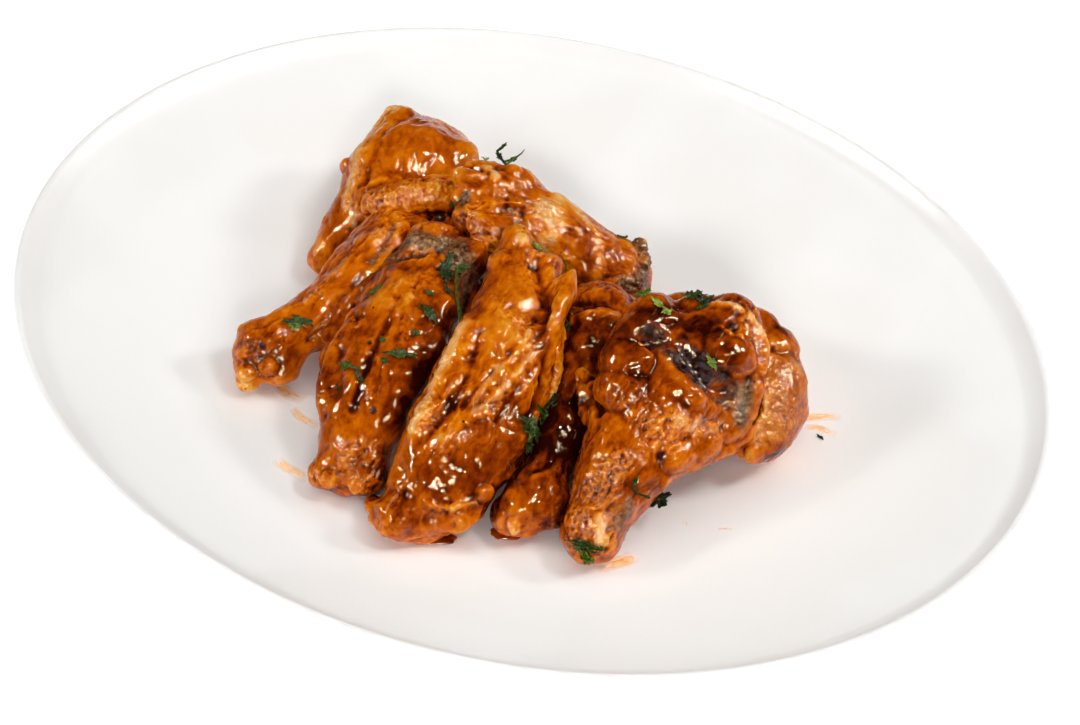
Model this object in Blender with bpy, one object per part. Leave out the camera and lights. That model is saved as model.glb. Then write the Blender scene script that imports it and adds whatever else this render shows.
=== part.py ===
"""A serving of sauced chicken wings on an oval coupe plate, in metres, +Z up.

The origin is the middle of the plate's foot. The plate's long axis lies along X. The wings are placed in the
serving's own frame, which an empty turns on the plate: there, +X is the diner's right, +Y is away from the diner,
and the plate's foot stands at Z = 0.
"""

from dataclasses import dataclass
from math import cos, pi, radians, sin

import bmesh
import bpy
from mathutils import Matrix, Vector

MM = 0.001

# The plate, in millimetres.
PLATE_LENGTH = 317.0
PLATE_WIDTH = 252.0
PLATE_HEIGHT = 27.0
FLOOR_HEIGHT = 7.5  # inner surface at the middle
FLOOR_SHARE = 0.42  # share of the half length that is flat, before the coupe curve begins
WALL = 4.6  # thickness of the body
LIP = 3.4  # thickness of the rounded edge
FOOT_SHARE = 0.53  # place of the foot ring, as a share of the half length
FOOT_WIDTH = 5.0
FOOT_HEIGHT = 2.6
BOWL_SHARE = 0.965  # where the bowl's wall meets the rounded edge
PLATE_SEGMENTS = 64
BOWL_STEPS = 6
SHARP_ANGLE = radians(40)

# The wings.
SERVING_TURN = radians(31)  # the pile's turn on the plate
RING_SIDES = 20
RING_STEPS = 18
TIP_SHARE = 0.6  # how far a rounded end stands out, as a share of its thickness
VOXEL = 1.7  # grid on which a wing's body and lumps are fused
SMOOTH_TURNS = 3
WING_TRIANGLES = 735
CONTACT_GAP = 0.35  # left between touching pieces


@dataclass
class Wing:
    """One piece of chicken. Places are in the serving's frame, in millimetres.

    start, end: the middle of each end of the bone line. bow: how far its middle lies off the straight line.
    face: the way the broad side looks. ribs: share along the bone line, half width and half thickness.
    lumps: place, and the radii along, across and out, of what swells beyond the ribs: knuckles and folds of skin.
    colour: the sauced skin's base colour.
    """

    start: tuple
    end: tuple
    bow: tuple
    face: tuple
    ribs: list
    lumps: list
    colour: tuple


# Nearest the diner first, and each before the pieces that it presses into.
WINGS = {
    "flat_centre": Wing(
        start=(-25, -69.5, 19),
        end=(2.5, 1, 45),
        bow=(5, -2, 5),
        face=(0.25, -0.45, 1),
        ribs=[
            (-0.10, 7, 5),
            (0.00, 13, 9.5),
            (0.25, 17, 10.5),
            (0.50, 16, 10),
            (0.75, 12.5, 9),
            (0.95, 11, 8),
            (1.06, 7, 5),
        ],
        lumps=[
            ((-33, -73, 19), (8, 7, 7)),
            ((-15, -70, 20), (9, 7, 7)),
            ((9, -26, 45), (22, 3.6, 6)),
            ((9, -4, 45), (6, 4.5, 5)),
            ((-1, 3, 50), (6, 5, 4.5)),
            ((-6, -2, 44), (6, 4, 5)),
            ((-40, -66, 15), (4, 4, 3.5)),
        ],
        colour=(0.60, 0.21, 0.03),
    ),
    "drumette_front": Wing(
        start=(20, -79, 19),
        end=(51, -27, 38),
        bow=(-2, 0, 1),
        face=(-0.3, -0.6, 1),
        ribs=[
            (-0.14, 4, 4),
            (-0.06, 8.5, 8),
            (0.10, 9.5, 9),
            (0.32, 13, 12),
            (0.60, 17.5, 15),
            (0.90, 21, 16),
            (1.10, 16, 12),
            (1.22, 8, 7),
        ],
        lumps=[
            ((33, -32, 46), (17, 8, 9)),
            ((56, -31, 44), (16, 11, 9)),
            ((60, -43, 32), (10, 8, 8)),
            ((24, -52, 29), (12, 4, 6)),
            ((18.5, -40, 32), (6, 3, 4)),
            ((50, -23.5, 45), (6, 6, 6)),
            ((23, -79, 17), (5, 5, 5)),
            ((16, -77, 17), (6, 6, 6)),
        ],
        colour=(0.52, 0.15, 0.02),
    ),
    "flat_left": Wing(
        start=(-47, -52.5, 18.5),
        end=(-23, 13, 37),
        bow=(-2, -2, 3),
        face=(-0.5, -0.4, 1),
        ribs=[
            (-0.12, 6, 5),
            (0.00, 10, 9),
            (0.25, 14, 10.5),
            (0.50, 17.5, 11),
            (0.75, 16, 10.5),
            (0.95, 12.5, 9.5),
            (1.08, 7, 6),
        ],
        lumps=[
            ((-49, -24, 31), (22, 5.5, 6)),
            ((-25, 13, 42), (6, 9, 6)),
            ((-14, 6, 40), (7, 6, 6)),
            ((-15, 2, 32), (8, 6, 8)),
            ((-54, -55, 17), (6, 5, 5)),
            ((-41, -57, 18), (7, 6, 6)),
        ],
        colour=(0.56, 0.18, 0.02),
    ),
    "drumette_back_right": Wing(
        start=(-7, 28, 42),
        end=(31, 20, 19),
        bow=(0, -1, -1),
        face=(0.1, -0.7, 1),
        ribs=[
            (-0.24, 6, 6),
            (-0.12, 11, 10),
            (0.10, 12, 11.5),
            (0.40, 13, 13),
            (0.75, 12, 12),
            (1.02, 11, 9),
            (1.14, 6, 6),
        ],
        lumps=[
            ((-13, 33, 47), (7, 7, 7)),
            ((-1, 31, 46), (8, 7, 5)),
            ((-9, 17, 42), (9, 7, 8)),
            ((-15, 20, 44), (6, 5, 5)),
            ((-9, 17, 32), (7, 6, 8)),
            ((31, 17, 22), (8, 7, 6)),
        ],
        colour=(0.58, 0.21, 0.04),
    ),
    "drumette_back_left": Wing(
        start=(-57, 34, 17),
        end=(-27, 68.5, 27.5),
        bow=(0, 0, 3),
        face=(0.2, -0.6, 1),
        ribs=[
            (-0.12, 5, 5),
            (0.00, 8, 8),
            (0.25, 11, 11),
            (0.60, 17, 16),
            (0.90, 17.5, 17),
            (1.12, 13, 12),
            (1.24, 7, 6),
        ],
        lumps=[
            ((-60, 34, 16), (6, 5, 6)),
            ((-38, 73, 35), (8, 7, 7)),
            ((-20, 62, 31), (8, 8, 8)),
            ((-44, 39, 34), (7, 6.5, 6.5)),
            ((-36, 38, 36), (7, 6.5, 6.5)),
            ((-27, 38, 38), (7, 6.5, 6.5)),
            ((-19, 39, 39), (6, 6, 6)),
            ((-22, 28, 29), (7, 6, 9)),
            ((-32, 61, 15), (13, 11, 10)),
        ],
        colour=(0.60, 0.19, 0.03),
    ),
    "drumette_left": Wing(
        start=(-74, -8, 20),
        end=(-38, 19, 26),
        bow=(1, -2, -1),
        face=(-0.2, -0.5, 1),
        ribs=[
            (-0.16, 5, 5),
            (-0.06, 8.5, 8),
            (0.10, 8.5, 8),
            (0.28, 8, 8),
            (0.50, 11, 10),
            (0.85, 16, 15),
            (1.15, 16, 14),
            (1.32, 9, 8),
        ],
        lumps=[
            ((-78, -12, 17), (6, 6, 6)),
            ((-69, -13, 16), (7, 6, 6)),
            ((-71, -5, 24), (8, 5, 5)),
            ((-79, -17, 14), (4, 3.5, 3)),
        ],
        colour=(0.55, 0.18, 0.02),
    ),
    "drumette_hidden": Wing(
        start=(3, -68, 17),
        end=(23, -11, 28),
        bow=(1, 0, 0),
        face=(0, -0.5, 1),
        ribs=[
            (-0.12, 5, 5),
            (-0.05, 8.5, 8),
            (0.10, 8.5, 8),
            (0.28, 8, 8),
            (0.60, 12, 12),
            (0.90, 16, 15),
            (1.10, 14, 13),
            (1.22, 7, 7),
        ],
        lumps=[
            ((9, -69, 17), (7, 5, 6)),
            ((-3, -70, 15), (6, 5, 6)),
        ],
        colour=(0.42, 0.10, 0.01),
    ),
    "drumette_right": Wing(
        start=(48, 6, 18),
        end=(67, -36, 24),
        bow=(2, 0, 2),
        face=(0.6, -0.4, 1),
        ribs=[
            (-0.14, 5, 5),
            (-0.05, 8, 8),
            (0.15, 9, 9),
            (0.45, 14, 13),
            (0.85, 17, 16),
            (1.15, 15, 14),
            (1.32, 8, 7),
        ],
        lumps=[
            ((69, -30, 26), (16, 12, 14)),
            ((66, -20, 36), (7, 7, 6.5)),
            ((71, -25, 33), (8, 8, 7)),
        ],
        colour=(0.58, 0.22, 0.06),
    ),
}


def material(name, colour, roughness, metallic=0.0):
    """A plain Principled finish for one piece."""
    made = bpy.data.materials.new(name)
    made.use_nodes = True
    shader = made.node_tree.nodes["Principled BSDF"]
    shader.inputs["Base Color"].default_value = (*colour, 1.0)
    shader.inputs["Roughness"].default_value = roughness
    shader.inputs["Metallic"].default_value = metallic
    return made


def object_from(name, bm, finish=None):
    """A mesh object made from a bmesh, which is freed."""
    mesh = bpy.data.meshes.new(name)
    bm.to_mesh(mesh)
    bm.free()
    made = bpy.data.objects.new(name, mesh)
    bpy.context.scene.collection.objects.link(made)
    if finish:
        mesh.materials.append(finish)
    return made


def evaluated_mesh(obj, name):
    """A mesh with the object's modifiers applied."""
    bpy.context.view_layer.update()
    graph = bpy.context.evaluated_depsgraph_get()
    mesh = bpy.data.meshes.new_from_object(obj.evaluated_get(graph))
    mesh.name = name
    return mesh


# ---------------------------------------------------------------- plate


def floor_height(share):
    """Height of the plate's inner surface at a share of the way out to its edge."""
    climb = max(0.0, (share - FLOOR_SHARE) / (1.0 - FLOOR_SHARE))
    return FLOOR_HEIGHT + (PLATE_HEIGHT - FLOOR_HEIGHT - 0.5 * LIP) * climb**2


def plate_profile():
    """The half section along the long axis as (radius, height), from the underside's middle to the floor's."""
    half = PLATE_LENGTH / 2
    foot = half * FOOT_SHARE
    under = FLOOR_HEIGHT - WALL
    points = [(0.0, under), (foot - FOOT_WIDTH, under)]
    points += [(foot - 0.6 * FOOT_WIDTH, 0.0), (foot + 0.2 * FOOT_WIDTH, 0.0)]
    points.append((foot + 0.6 * FOOT_WIDTH, FOOT_HEIGHT))
    shares = [FOOT_SHARE + (BOWL_SHARE - FOOT_SHARE) * (i + 1) / BOWL_STEPS for i in range(BOWL_STEPS)]
    points += [(half * s, floor_height(s) - WALL) for s in shares]
    lip_middle = half - LIP / 2
    for turn in (-50, 0, 45, 90, 140):
        angle = radians(turn)
        points.append((lip_middle + LIP / 2 * cos(angle), PLATE_HEIGHT - LIP / 2 + LIP / 2 * sin(angle)))
    points += [(half * s, floor_height(s)) for s in reversed(shares)]
    points += [(half * FLOOR_SHARE, FLOOR_HEIGHT), (0.0, FLOOR_HEIGHT)]
    return points


def make_plate():
    """The profile spun round Z, then drawn in to the plate's width."""
    bm = bmesh.new()
    ring = [bm.verts.new((r * MM, 0.0, z * MM)) for r, z in plate_profile()]
    edges = [bm.edges.new(pair) for pair in zip(ring, ring[1:])]
    bmesh.ops.spin(
        bm,
        geom=ring + edges,
        axis=(0, 0, 1),
        cent=(0, 0, 0),
        angle=2 * pi,
        steps=PLATE_SEGMENTS,
    )
    bmesh.ops.remove_doubles(bm, verts=bm.verts, dist=0.01 * MM)
    bmesh.ops.scale(bm, vec=(1.0, PLATE_WIDTH / PLATE_LENGTH, 1.0), verts=bm.verts)
    bmesh.ops.recalc_face_normals(bm, faces=bm.faces)
    plate = object_from("plate", bm, material("glazed_white", (0.86, 0.85, 0.83), 0.12))
    plate.data.shade_smooth()
    plate.data.set_sharp_from_angle(angle=SHARP_ANGLE)
    return plate


# ---------------------------------------------------------------- wings


def smooth_between(stops, share):
    """Half width and half thickness at a share along, eased between the ribs on either side."""
    for (a, wa, ta), (b, wb, tb) in zip(stops, stops[1:]):
        if share <= b:
            x = (share - a) / (b - a)
            ease = x * x * (3 - 2 * x)
            return wa + (wb - wa) * ease, ta + (tb - ta) * ease
    return stops[-1][1:]


class BoneLine:
    """The bowed line that a wing is built along, with its own axes: along, across and out."""

    def __init__(self, wing):
        self.start, self.end, self.bow = (Vector(p) for p in (wing.start, wing.end, wing.bow))
        self.along = (self.end - self.start).normalized()
        self.across = self.along.cross(Vector(wing.face)).normalized()
        self.out = self.across.cross(self.along).normalized()

    def at(self, share):
        """The point at a share of the way along."""
        return self.start.lerp(self.end, share) + self.bow * (4 * share * (1 - share))

    def place(self, share, across, out):
        """A point off the line."""
        return self.at(share) + self.across * across + self.out * out


def add_body(bm, line, ribs):
    """The wing's main body: rings lofted along its bone line, with a point at each end."""
    first, last = ribs[0][0], ribs[-1][0]
    rings = []
    for i in range(RING_STEPS + 1):
        share = first + (last - first) * i / RING_STEPS
        width, thickness = smooth_between(ribs, share)
        ring = []
        for k in range(RING_SIDES):
            turn = 2 * pi * k / RING_SIDES
            ring.append(bm.verts.new(line.place(share, width * cos(turn), thickness * sin(turn))))
        rings.append(ring)
    for one, two in zip(rings, rings[1:]):
        for k in range(RING_SIDES):
            n = (k + 1) % RING_SIDES
            bm.faces.new((one[k], one[n], two[n], two[k]))
    for ring, outward in ((rings[0], -1), (rings[-1], 1)):
        share = first if outward < 0 else last
        tip = line.at(share) + line.along * outward * min(smooth_between(ribs, share)) * TIP_SHARE
        point = bm.verts.new(tip)
        for k in range(RING_SIDES):
            bm.faces.new((ring[k], ring[(k + 1) % RING_SIDES], point))


def add_lump(bm, line, place, radii):
    """A rounded lump of meat, skin or knuckle, fused into the body later."""
    turn = Matrix((line.along, line.across, line.out)).transposed().to_4x4()
    size = Matrix.Diagonal((*radii, 1.0))
    move = Matrix.Translation(Vector(place))
    bmesh.ops.create_icosphere(bm, subdivisions=2, radius=1.0, matrix=move @ turn @ size)


def make_wing(name, wing):
    """Body and lumps, fused on a grid, smoothed and thinned out to a light closed mesh."""
    line = BoneLine(wing)
    bm = bmesh.new()
    add_body(bm, line, wing.ribs)
    for lump in wing.lumps:
        add_lump(bm, line, *lump)
    bmesh.ops.recalc_face_normals(bm, faces=bm.faces)
    bmesh.ops.scale(bm, vec=(MM, MM, MM), verts=bm.verts)
    made = object_from(name, bm, material(f"{name}_sauce", wing.colour, 0.25))

    fuse = made.modifiers.new("fuse", "REMESH")
    fuse.mode = "VOXEL"
    fuse.voxel_size = VOXEL * MM
    smooth = made.modifiers.new("smooth", "SMOOTH")
    smooth.factor = 0.5
    smooth.iterations = SMOOTH_TURNS
    fused = evaluated_mesh(made, name)
    thin = made.modifiers.new("thin", "DECIMATE")
    thin.ratio = WING_TRIANGLES / sum(len(face.vertices) - 2 for face in fused.polygons)
    bpy.data.meshes.remove(fused)
    made.data = evaluated_mesh(made, name)
    made.modifiers.clear()
    return made


def cutter_of(piece):
    """A copy of a piece, swollen by the contact gap, that dents what is pressed against the piece."""
    cutter = bpy.data.objects.new(f"{piece.name}_cutter", evaluated_mesh(piece, f"{piece.name}_cutter"))
    bpy.context.scene.collection.objects.link(cutter)
    bm = bmesh.new()
    bm.from_mesh(cutter.data)
    bm.normal_update()
    moves = [v.normal * v.calc_shell_factor() * CONTACT_GAP * MM for v in bm.verts]
    for vert, move in zip(bm.verts, moves):
        vert.co += move
    bm.to_mesh(cutter.data)
    bm.free()
    cutter.matrix_world = piece.matrix_world.copy()
    cutter.hide_render = True
    cutter.display_type = "WIRE"
    return cutter


def press(piece, cutters):
    """Dents the piece by each neighbour that was placed before it."""
    for cutter in cutters:
        dent = piece.modifiers.new(f"against_{cutter.name}", "BOOLEAN")
        dent.operation = "DIFFERENCE"
        dent.object = cutter
    bpy.context.view_layer.update()
    mesh = evaluated_mesh(piece, piece.name)
    piece.modifiers.clear()
    piece.data = mesh


def keep_largest(piece):
    """Drops slivers that a dent cut loose from the piece."""
    bm = bmesh.new()
    bm.from_mesh(piece.data)
    left = set(bm.verts)
    islands = []
    while left:
        stack, island = [left.pop()], []
        while stack:
            vert = stack.pop()
            island.append(vert)
            for edge in vert.link_edges:
                other = edge.other_vert(vert)
                if other in left:
                    left.remove(other)
                    stack.append(other)
        islands.append(island)
    islands.sort(key=len, reverse=True)
    for island in islands[1:]:
        bmesh.ops.delete(bm, geom=island, context="VERTS")
    bmesh.ops.triangulate(bm, faces=bm.faces)
    bm.to_mesh(piece.data)
    bm.free()


def main():
    for old in list(bpy.data.objects):
        bpy.data.objects.remove(old, do_unlink=True)
    plate = make_plate()
    serving = bpy.data.objects.new("serving", None)
    serving.rotation_euler = (0.0, 0.0, SERVING_TURN)
    bpy.context.scene.collection.objects.link(serving)
    bpy.context.view_layer.update()
    cutters = [cutter_of(plate)]
    for name, wing in WINGS.items():
        piece = make_wing(name, wing)
        piece.parent = serving
        bpy.context.view_layer.update()
        press(piece, cutters)
        keep_largest(piece)
        piece.data.shade_smooth()
        cutters.append(cutter_of(piece))


main()
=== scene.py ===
# %% [markdown]
# # Glazed chicken wings on an oval plate
# This lesson finishes a serving of sticky, sauced chicken wings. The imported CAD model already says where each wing
# and the plate lie, so the script only gives them their real surface: skin, folds, glaze, herbs and porcelain.
# Everything is in metres. The pile was laid out in the diner's own frame, in millimetres, turned on the oval plate,
# so small features below are given in that frame, which is easier to think in.

# %% Load the frame and the tools
from itertools import product
from math import atan2, cos, hypot, pi, radians, sin

import bpy
import numpy as np
from mathutils import Matrix, Quaternion, Vector
from mathutils.bvhtree import BVHTree


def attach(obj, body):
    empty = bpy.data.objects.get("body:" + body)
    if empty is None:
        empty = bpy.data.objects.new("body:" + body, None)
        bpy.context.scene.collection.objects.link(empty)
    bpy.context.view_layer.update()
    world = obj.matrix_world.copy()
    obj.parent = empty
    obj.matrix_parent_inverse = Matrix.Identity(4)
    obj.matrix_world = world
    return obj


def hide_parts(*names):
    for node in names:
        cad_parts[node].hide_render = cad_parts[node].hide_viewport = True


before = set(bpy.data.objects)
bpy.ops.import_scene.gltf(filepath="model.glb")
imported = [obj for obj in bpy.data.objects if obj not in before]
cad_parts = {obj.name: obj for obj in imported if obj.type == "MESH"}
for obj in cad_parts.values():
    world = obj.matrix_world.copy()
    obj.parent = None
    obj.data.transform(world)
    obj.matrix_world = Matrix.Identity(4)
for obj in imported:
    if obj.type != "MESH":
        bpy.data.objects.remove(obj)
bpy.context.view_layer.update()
MM = 0.001
SERVING_TURN = radians(31)
SERVING = Matrix.Rotation(SERVING_TURN, 4, "Z") @ Matrix.Scale(MM, 4)
TO_WORLD = np.array(SERVING.to_3x3())
TO_SERVING = np.linalg.inv(TO_WORLD)
print("nodes:", sorted(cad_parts))

# %% [markdown]
# ## Camera
# The diner's eye looks down on the plate at 45 degrees from straight in front, through a long lens, so that the
# oval keeps its shape and the pile its height.

# %% Camera
VIEW_HEIGHT = radians(45)
VIEW_DISTANCE = 700
LOOK_AT = (5.9, -10.5, 15)


def add_camera():
    """A level camera in front of the diner's side of the plate."""
    back = Vector((0, -cos(VIEW_HEIGHT), sin(VIEW_HEIGHT)))
    place = SERVING @ (Vector(LOOK_AT) + back * VIEW_DISTANCE)
    data = bpy.data.cameras.new("diner")
    data.lens, data.sensor_width = 80, 36
    data.clip_start = 0.01
    camera = bpy.data.objects.new("diner", data)
    bpy.context.scene.collection.objects.link(camera)
    camera.location = place
    camera.rotation_euler = (place - SERVING @ Vector(LOOK_AT)).to_track_quat("Z", "Y").to_euler()
    bpy.context.scene.camera = camera
    return camera


camera = add_camera()
print("camera at", [round(c, 3) for c in camera.location])

# %% [markdown]
# ## Shader maths
# Patterns are easier to read as sums than as a web of nodes. `Value` wraps a socket, so that an expression on
# values adds its Math nodes, and `Finish` is one material that hands out any other node.


# %% Shader helpers
class Value:
    """A number in a shader: sums, products and comparisons of values add Math nodes."""

    def __init__(self, finish, socket):
        self.finish, self.socket = finish, socket

    def math(self, operation, *others, clamp=False):
        """One Math node on this value and the others."""
        settings = {"operation": operation, "use_clamp": clamp}
        return self.finish.node("ShaderNodeMath", settings, dict(enumerate((self, *others))))

    def __add__(self, other):
        return self.math("ADD", other)

    def __mul__(self, other):
        return self.math("MULTIPLY", other)

    def __sub__(self, other):
        return self.math("SUBTRACT", other)

    def __rsub__(self, other):
        return self.finish.node("ShaderNodeMath", {"operation": "SUBTRACT"}, {0: other, 1: self})

    def __pow__(self, other):
        return self.math("POWER", other)

    __radd__, __rmul__ = __add__, __mul__

    def clamp(self):
        """Held between 0 and 1."""
        return self.math("ADD", 0.0, clamp=True)

    def step(self, low, high):
        """0 below low, 1 above high, and a smooth rise between them."""
        settings = {"interpolation_type": "SMOOTHSTEP"}
        sockets = {"Value": self, "From Min": low, "From Max": high}
        return self.finish.node("ShaderNodeMapRange", settings, sockets)

    def ramp(self, *stops):
        """A colour read off a ramp of (place, colour) stops."""
        return self.finish.node("ShaderNodeValToRGB", {"stops": stops}, {"Fac": self})


class Graph:
    """Nodes being put together in one tree, of a material or of a lamp."""

    def __init__(self, tree):
        self.tree = tree

    def node(self, kind, settings=None, sockets=None, output=0):
        """Adds a node: its settings first, then the values or links of its sockets."""
        made = self.tree.nodes.new(kind)
        for key, setting in (settings or {}).items():
            if key == "stops":
                points = made.color_ramp.elements
                while len(points) < len(setting):
                    points.new(1.0)
                for point, (place, colour) in zip(points, setting):
                    point.position, point.color = place, (*colour, 1.0)
            else:
                setattr(made, key, setting)
        for key, value in (sockets or {}).items():
            self.feed(made.inputs[key], value)
        return Value(self, made.outputs[output])

    def feed(self, socket, value):
        """A link if the value comes from a node, else a plain number or colour."""
        if isinstance(value, Value):
            self.tree.links.new(value.socket, socket)
        elif isinstance(value, tuple) and len(value) == 3 and socket.type == "RGBA":
            socket.default_value = (*value, 1.0)
        else:
            socket.default_value = value

    def place(self):
        """The point being shaded, in metres."""
        return self.node("ShaderNodeTexCoord", output="Object")

    def stretch(self, where, scale):
        """The place scaled along each axis, to draw a pattern out."""
        return self.node("ShaderNodeMapping", {}, {"Vector": where, "Scale": scale})

    def noise(self, where, bumps_per_m, detail=3.0, rough=0.5, twist=0.0):
        """Cloudy noise about 0.5."""
        sockets = {"Vector": where, "Scale": bumps_per_m, "Detail": detail, "Roughness": rough, "Distortion": twist}
        return self.node("ShaderNodeTexNoise", {}, sockets)

    def cells(self, where, cells_per_m, feature="F1", output="Distance"):
        """Distance to, or colour of, the nearest of scattered points."""
        return self.node("ShaderNodeTexVoronoi", {"feature": feature}, {"Vector": where, "Scale": cells_per_m}, output)

    def attribute(self, name, output="Fac"):
        """A number or a vector kept on the mesh's points."""
        return self.node("ShaderNodeAttribute", {"attribute_name": name}, output=output)

    def mix(self, one, two, share):
        """Between two colours, by a share from 0 to 1."""
        made = self.tree.nodes.new("ShaderNodeMix")
        made.data_type = "RGBA"
        self.feed(made.inputs[0], share)
        self.feed(made.inputs[6], one)
        self.feed(made.inputs[7], two)
        return Value(self, made.outputs[2])

    def bump(self, height, depth_m, strength=1.0):
        """A bumped normal from a height of 0 to 1 that stands for a depth in metres."""
        return self.node("ShaderNodeBump", {}, {"Height": height, "Distance": depth_m, "Strength": strength})


class Finish(Graph):
    """A material being put together around one Principled shader."""

    def __init__(self, name, **plain):
        self.material = bpy.data.materials.new(name)
        self.material.use_nodes = True
        super().__init__(self.material.node_tree)
        self.shader = self.tree.nodes["Principled BSDF"]
        for socket, number in plain.items():
            self.shader.inputs[socket.replace("_", " ")].default_value = number

    def set(self, socket, value):
        """Feeds one of the shader's own sockets."""
        self.feed(self.shader.inputs[socket], value)


def tint(red, green, blue):
    """A colour as seen on screen, 0 to 255, turned into the linear values that shaders work in."""
    shares = (c / 255 for c in (red, green, blue))
    return tuple(s / 12.92 if s <= 0.04045 else ((s + 0.055) / 1.055) ** 2.4 for s in shares)


print("shader helpers ready")

# %% [markdown]
# ## Skin under glaze
# Roast chicken skin ranges from creamy, where fat lies under it, to amber and brown. The glaze over it is thin on
# the high places and pools dark red in the low ones. So the colour is one ramp of glaze thickness, broken up with
# noise, and painted numbers on each mesh say where the fat, the bare dark meat and the thick sauce are. The extra
# dark glaze in the hollows and where the wings face each other is partly real pooling and partly painted shade,
# the shade in creases and between the wings. Thick glaze is mirror smooth, while crisp skin is grainy and sparkles,
# so the grain fades where the glaze is thick.


# %% Skin finish
def skin_finish():
    """Amber skin with thin and thick glaze, fat, dark meat, specks of spice and a wet, broken shine."""
    skin = Finish("glazed_skin", IOR=1.47, Specular_IOR_Level=0.13, Coat_Weight=0.12, Coat_Roughness=0.03)
    skin.shader.inputs["Specular Tint"].default_value = (1.0, 0.66, 0.3, 1.0)
    here, along = skin.place(), skin.attribute("grain", "Vector")
    fat, meat, sauce, crisp = (skin.attribute(n) for n in ("fat", "meat", "sauce", "crisp"))
    low, char, dry = (skin.attribute(n) for n in ("low", "char", "dry"))
    cloud = skin.noise(here, 90, 4, 0.6, 0.4)
    fine = skin.noise(skin.stretch(along, (0.5, 1.0, 1.0)), 460, 5, 0.6, 0.7)
    peel = (1 - skin.cells(here, 800)) * 0.6 + skin.noise(here, 1500, 3, 0.6) * 0.4
    grain = peel * 0.55 + skin.noise(along, 520, 4, 0.65, 0.9) * 0.45
    ripple = skin.noise(here, 380, 3, 0.5, 0.5)
    # Painted shade, together with real pooling: low (the hollows) thickens and darkens the glaze here, darkens the tan
    # below and holds back the cream, and sauce also carries the shade that pool() paints where the wings face each
    # other.
    thick = 0.5 + (cloud - 0.5) * 0.9 + (fine - 0.5) * (0.4 + crisp * 0.5) + sauce * 0.4 + low * 0.55 - fat * 0.15
    thick = thick + (0.5 - grain) * (0.15 + crisp * 0.8)
    amber = thick.clamp().ramp(
        (0.00, tint(228, 164, 70)),
        (0.18, tint(214, 128, 16)),
        (0.38, tint(200, 100, 1)),
        (0.56, tint(172, 75, 0)),
        (0.72, tint(130, 47, 0)),
        (0.86, tint(86, 25, 0)),
        (1.00, tint(40, 5, 0)),
    )
    patch = (fine - 0.5) * 1.6 + (cloud - 0.5) * 2.2 + (0.5 - grain) * 1.2 + low * 0.5 + 0.45
    tan = patch.clamp().ramp((0.0, tint(200, 122, 40)), (0.4, tint(172, 82, 12)), (0.75, tint(132, 50, 3)), (1.0, tint(84, 26, 0)))
    colour = skin.mix(amber, tan, (dry * 1.2 - sauce * 0.6).clamp())
    streak = skin.noise(skin.stretch(along, (0.3, 1.0, 1.0)), 360, 4, 0.6, 1.0)
    creamy = (fat * 1.3 - (streak - 0.34) * 4.0 - low * 0.4).clamp()
    colour = skin.mix(colour, skin.mix(tint(204, 138, 58), tint(226, 182, 126), fine.step(0.35, 0.65)), creamy * 0.8)
    bare = (meat * 1.9 - fine * 1.2).clamp()
    flesh = skin.mix(tint(40, 20, 10), tint(118, 78, 50), skin.noise(here, 700, 3).step(0.35, 0.65))
    colour = skin.mix(colour, flesh, bare * 0.9)
    black = (char * 1.9 - fine * 1.1).clamp()
    soot = skin.mix(tint(12, 8, 8), tint(70, 58, 62), skin.noise(here, 520, 3).step(0.4, 0.66))
    colour = skin.mix(colour, soot, black * 0.95)
    toast = (crisp * (1 - skin.cells(here, 900)) * 1.5 - 0.75).clamp()
    colour = skin.mix(colour, tint(150, 78, 16), toast * 0.45)
    speck = 1 - skin.cells(here, 250).step(0.05, 0.13)
    speck = speck * skin.noise(here, 210, 1).step(0.55, 0.62)
    colour = skin.mix(colour, tint(34, 12, 4), speck * 0.92)
    skin.set("Base Color", colour)
    dull = crisp * 0.08 + bare * 0.2 + black * 0.1 + dry * 0.3 - sauce * 0.05
    skin.set("Roughness", (0.07 + dull * 0.4 + (fine - 0.5) * 0.06).clamp())
    relief = grain * (0.1 + crisp * 0.75 + bare * 0.9 + dry * 0.3 - black * 0.3 - sauce * 0.08).clamp()
    skin.set("Normal", skin.bump(relief + ripple * 0.12, 0.0009))
    return skin.material


glazed_skin = skin_finish()
print("skin finish has", len(glazed_skin.node_tree.nodes), "nodes")

# %% [markdown]
# ## Noise for modelling
# The lumps and wrinkles are real geometry, because they break up the outline and the highlights. Two kinds of
# noise do it: a smooth one for swells and wrinkles, and scattered points for the blisters of crisp skin.


# %% Noise on points
_rng = np.random.default_rng(7)
TABLE = _rng.permutation(256)
SLOPES = _rng.normal(size=(256, 3))
SLOPES /= np.linalg.norm(SLOPES, axis=1)[:, None]
SPOTS = _rng.random((256, 3))


def lattice_key(cell, seed):
    """A repeatable number from 0 to 255 for each whole-numbered cell."""
    key = TABLE[(cell[:, 0] + seed * 37) & 255]
    key = TABLE[(key + cell[:, 1]) & 255]
    return TABLE[(key + cell[:, 2]) & 255]


def smooth_noise(points, seed=0):
    """Noise from about -1 to 1, one swell to the unit."""
    cell = np.floor(points).astype(int)
    part = points - cell
    fade = part**3 * (part * (part * 6 - 15) + 10)
    total = np.zeros(len(points))
    for corner in product((0, 1), repeat=3):
        slope = SLOPES[lattice_key(cell + corner, seed)]
        weight = np.prod(np.where(corner, fade, 1 - fade), axis=1)
        total += weight * ((part - corner) * slope).sum(1)
    return total * 1.7


def rough_noise(points, seed=0, layers=4, gain=0.5):
    """Layers of smooth noise, each half as wide and gain as tall."""
    return sum(smooth_noise(points * 2**i, seed + i) * gain**i for i in range(layers))


def blisters(points, seed=0):
    """Domes round scattered points, 1 at a point and 0 half way to the next."""
    cell = np.floor(points).astype(int)
    near = np.full(len(points), 9.0)
    for corner in product((-1, 0, 1), repeat=3):
        spot = cell + corner + SPOTS[lattice_key(cell + corner, seed)]
        near = np.minimum(near, ((spot - points) ** 2).sum(1))
    return np.clip(1 - np.sqrt(near) * 1.25, 0, 1)


print("noise ready")
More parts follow.
